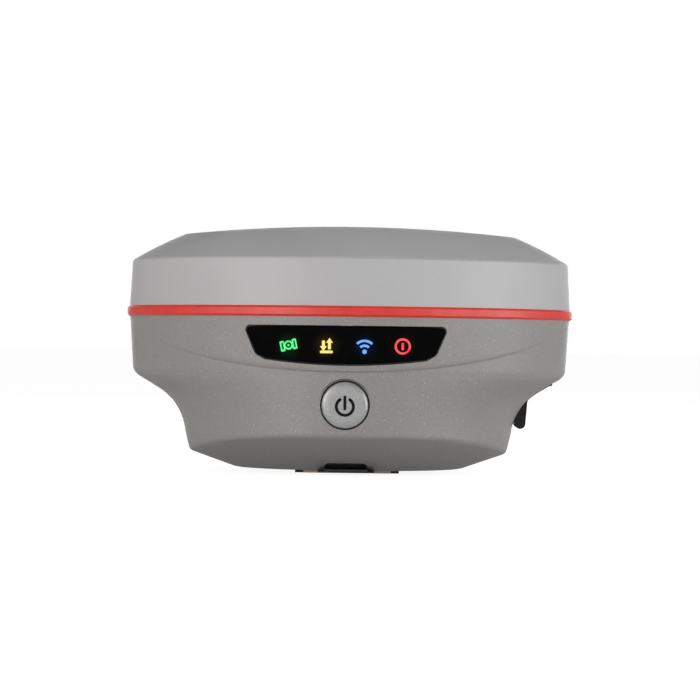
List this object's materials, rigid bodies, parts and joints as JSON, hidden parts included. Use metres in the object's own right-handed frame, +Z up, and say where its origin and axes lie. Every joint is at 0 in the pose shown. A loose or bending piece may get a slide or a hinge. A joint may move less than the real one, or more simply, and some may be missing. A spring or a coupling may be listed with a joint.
{
  "type": "gnss receiver",
  "caption": "Round satellite positioning receiver with a dome radome, bumper ring, front status window and power button, side port cover, rear battery door and threaded pole socket.",
  "frame": {"origin": "centre of the bottom mounting face, on the pole axis", "axes": "+Z up along the pole axis, front with the status window and button faces -Y, port cover on +X, battery door on +Y"},
  "size_m": [0.157, 0.157, 0.0862],
  "materials": {
    "radome_plastic": "satin",
    "red_rubber": "satin",
    "black_rubber": "matte",
    "housing_paint": "fine metallic speckle",
    "frame_metal": "machined",
    "chassis_metal": "machined",
    "steel": "bright",
    "brass": "bright",
    "patch_ceramic": "matte",
    "circuit_board": "solder mask",
    "tin_can": "tinned",
    "flex_film": "film",
    "black_plastic": "fine grain",
    "icon_green": "glowing",
    "icon_yellow": "glowing",
    "icon_blue": "glowing",
    "icon_red": "glowing",
    "window_black": "polished",
    "clear_plastic": "clear",
    "lamp_white": "moulded",
    "symbol_black": "print",
    "button_silver": "satin metallic",
    "nickel": "plated",
    "door_black": "glossy",
    "pack_plastic": "grained",
    "insert_metal": "turned",
    "label_grey": "blank"
  },
  "bodies": {
    "receiver": {"radome": "radome_plastic", "bumper_ring": "red_rubber", "seal_ring": "black_rubber", "lower_housing": "housing_paint", "mid_frame": "frame_metal", "chassis": "chassis_metal", "radome_screws": "steel", "housing_screws": "steel", "board_screws": "steel", "base_screws": "steel", "antenna_centre_screw": "brass", "antenna_feed_pins": "brass", "antenna_base": "frame_metal", "antenna_lower_patch": "patch_ceramic", "antenna_upper_patch": "patch_ceramic", "lna_board": "circuit_board", "lna_shield": "tin_can", "cellular_antenna": "flex_film", "wireless_antenna": "flex_film", "main_board": "circuit_board", "gnss_module": "tin_can", "radio_module": "tin_can", "shield_cans": "tin_can", "tilt_sensor": "black_plastic", "speaker": "black_plastic", "icon_satellite": "icon_green", "icon_data_link": "icon_yellow", "icon_wireless": "icon_blue", "icon_power": "icon_red", "led_window": "window_black", "window_gasket": "black_rubber", "light_guide": "clear_plastic", "status_leds": "lamp_white", "led_board": "circuit_board", "button_seal": "black_rubber", "button_switch": "black_plastic", "button_board": "circuit_board", "port_plate": "black_plastic", "data_port": "nickel", "usb_port": "nickel", "port_board": "circuit_board", "card_tray": "tin_can", "memory_card": "black_plastic", "battery_bay": "black_plastic", "battery_pack": "pack_plastic", "battery_contacts": "brass", "battery_door_pin": "steel", "battery_bay_seal": "black_rubber", "thread_insert": "insert_metal", "base_plate": "black_plastic", "vent_plug": "black_rubber", "rating_label": "label_grey"},
    "button": {"power_button": "button_silver", "button_symbol": "symbol_black"},
    "port_cover": {"port_cover": "black_rubber"},
    "card_door": {"card_door": "door_black"},
    "battery_door": {"battery_door": "housing_paint"},
    "battery_latch": {"battery_latch": "black_plastic"}
  },
  "joints": [
    {"name": "power_button_press", "type": "slide", "parent": "receiver", "child": "button", "axis": [0, 1, 0], "range_m": [0, 0.0008], "stiffness_N_per_m": 2500},
    {"name": "port_cover_hinge", "type": "hinge", "parent": "receiver", "child": "port_cover", "pos_m": [0.07075, 0, 0.0318], "axis": [0, -1, 0], "range_deg": [0, 100]},
    {"name": "card_door_hinge", "type": "hinge", "parent": "receiver", "child": "card_door", "pos_m": [0, -0.02, 0.00085], "axis": [1, 0, 0], "range_deg": [0, 95]},
    {"name": "battery_door_hinge", "type": "hinge", "parent": "receiver", "child": "battery_door", "pos_m": [0, 0.075, 0.0158], "axis": [-1, 0, 0], "range_deg": [0, 100]},
    {"name": "battery_latch_slide", "type": "slide", "parent": "battery_door", "child": "battery_latch", "axis": [0, 0, 1], "range_m": [0, 0.0024]}
  ]
}
